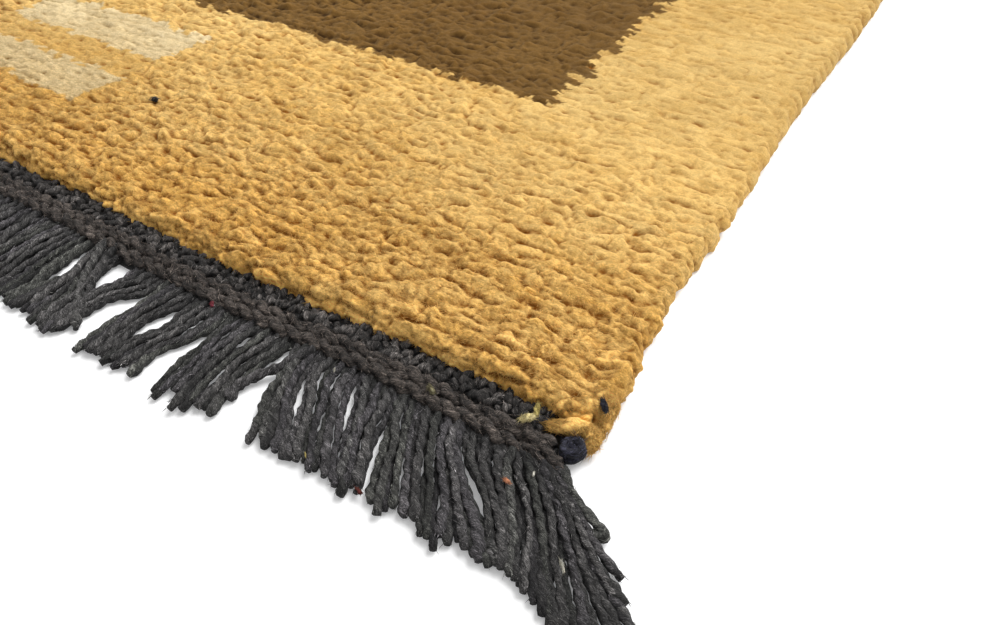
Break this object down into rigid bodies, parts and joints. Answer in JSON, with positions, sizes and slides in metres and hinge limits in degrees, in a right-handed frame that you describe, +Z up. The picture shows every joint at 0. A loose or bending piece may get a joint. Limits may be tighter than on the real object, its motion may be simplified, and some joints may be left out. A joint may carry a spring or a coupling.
{
  "type": "nepalese rug",
  "caption": "Small hand-knotted wool rug lying flat, with overcast side edges, charcoal end bands, twined cords and a warp fringe at both ends.",
  "frame": {"origin": "on the floor under the middle of the rug", "axes": "+Z up from the floor, +X to the right along the ends, +Y along the rug away from the front fringe"},
  "size_m": [0.6704, 0.972, 0.009],
  "materials": {
    "gold_wool": "matte hand-spun wool pile",
    "charcoal_wool": "matte twisted wool yarn"
  },
  "bodies": {
    "root": {"pile_body": "gold_wool", "selvedge_left": "gold_wool", "selvedge_right": "gold_wool", "end_band_front": "charcoal_wool", "end_band_back": "charcoal_wool", "fringe_front": "charcoal_wool", "fringe_back": "charcoal_wool", "cord_end_front_left": "charcoal_wool", "cord_end_front_right": "charcoal_wool", "cord_end_back_left": "charcoal_wool", "cord_end_back_right": "charcoal_wool"}
  },
  "joints": []
}
